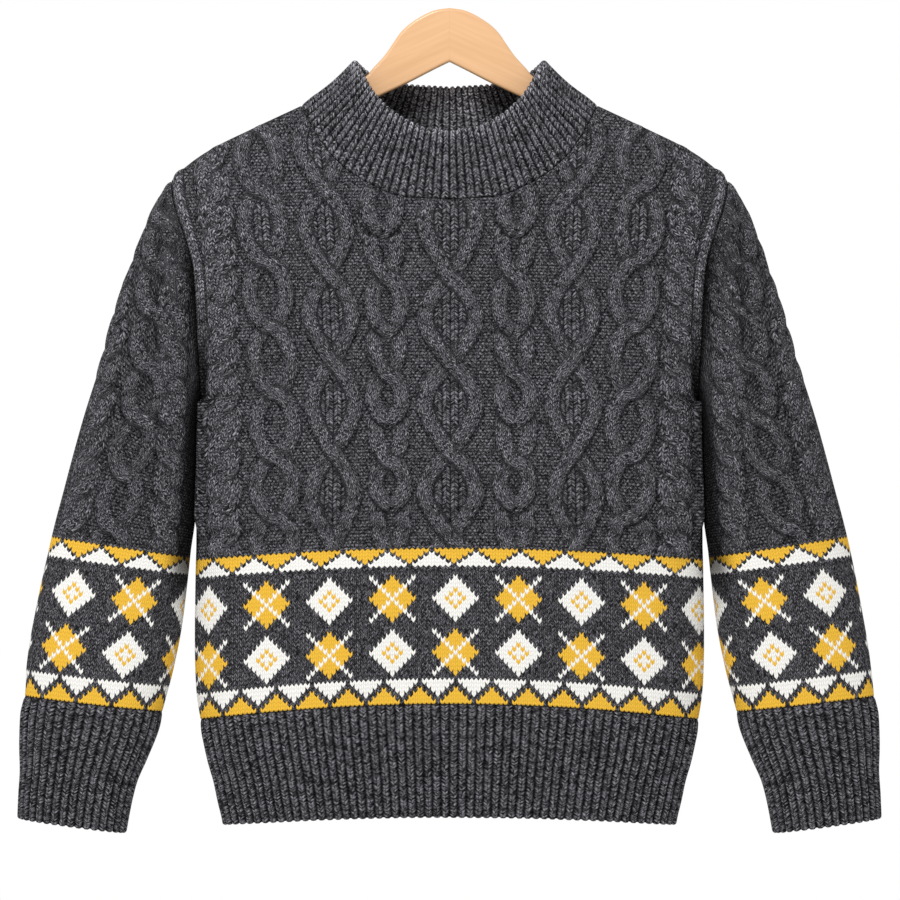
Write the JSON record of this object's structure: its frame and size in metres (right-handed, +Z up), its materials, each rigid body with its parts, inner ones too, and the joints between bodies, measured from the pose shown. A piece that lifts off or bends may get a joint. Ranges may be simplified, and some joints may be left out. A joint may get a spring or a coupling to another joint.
{
  "type": "cable knit sweater on a wooden hanger",
  "caption": "Charcoal cable knit sweater with a mock neck, long sleeves, ribbed hem and cuffs and a band of coloured diamonds, hanging on a plain pale wooden hanger board.",
  "frame": {"origin": "top of the hanger's crest, where whatever holds the hanger takes hold", "axes": "+X towards the wearer's left sleeve, -Y out of the front panel, +Z up"},
  "size_m": [0.7814, 0.1128, 0.7466],
  "materials": {
    "charcoal_knit": "heathered charcoal wool in cable knit, with yellow and off-white diamonds knitted in on the lower body and sleeves",
    "charcoal_rib": "heathered charcoal wool in single rib",
    "pale_wood": "pale hardwood with a clear satin finish and a centre joint"
  },
  "bodies": {
    "root": {"front": "charcoal_knit", "back": "charcoal_knit", "sleeve_left": "charcoal_knit", "sleeve_right": "charcoal_knit", "neckband": "charcoal_rib", "hem_band_front": "charcoal_rib", "hem_band_back": "charcoal_rib", "cuff_left": "charcoal_rib", "cuff_right": "charcoal_rib", "hanger": "pale_wood"}
  },
  "joints": []
}
